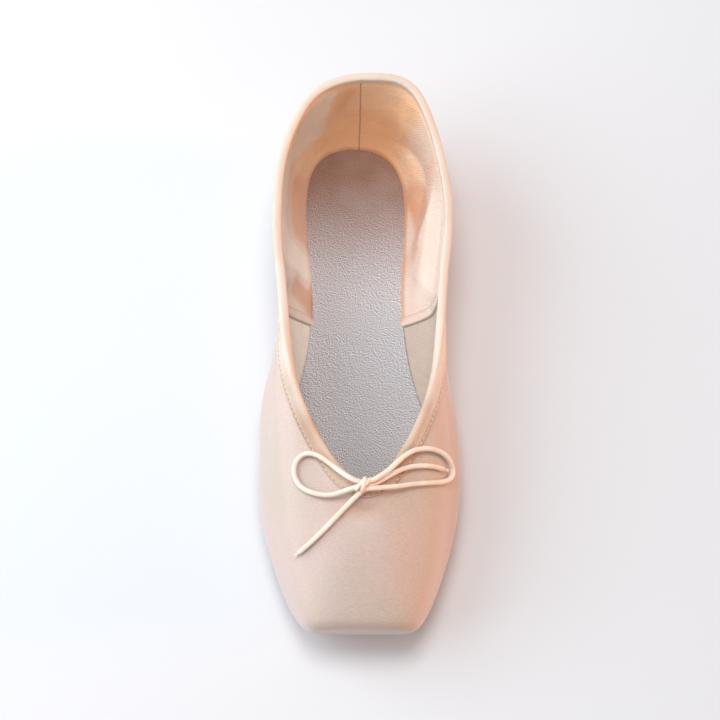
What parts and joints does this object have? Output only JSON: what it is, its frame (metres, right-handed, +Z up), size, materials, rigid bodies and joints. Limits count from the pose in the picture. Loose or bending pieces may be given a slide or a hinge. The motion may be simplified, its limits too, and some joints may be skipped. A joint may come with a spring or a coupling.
{
  "type": "pointe shoe",
  "caption": "Satin ballet pointe shoe with a flat toe platform, leather sole, suede insole and a thin drawstring bow at the throat.",
  "frame": {"origin": "on the floor under the middle of the shoe's length and width", "axes": "+Y from toe to heel, +X to the viewer's right with the toe nearest, +Z up"},
  "size_m": [0.083, 0.2315, 0.0587],
  "materials": {
    "satin": "glossy satin weave",
    "lining": "matte cotton twill",
    "binding": "matte ribbed tape",
    "cord": "matte woven cord",
    "suede": "suede",
    "sole_leather": "matte, lightly buffed"
  },
  "bodies": {
    "root": {"upper": "satin", "outsole": "sole_leather", "insole": "suede", "collar_binding": "binding", "bow_knot": "cord", "bow_loop_left": "cord", "bow_loop_right": "cord", "bow_tail_left": "cord", "bow_tail_right": "cord"}
  },
  "joints": []
}
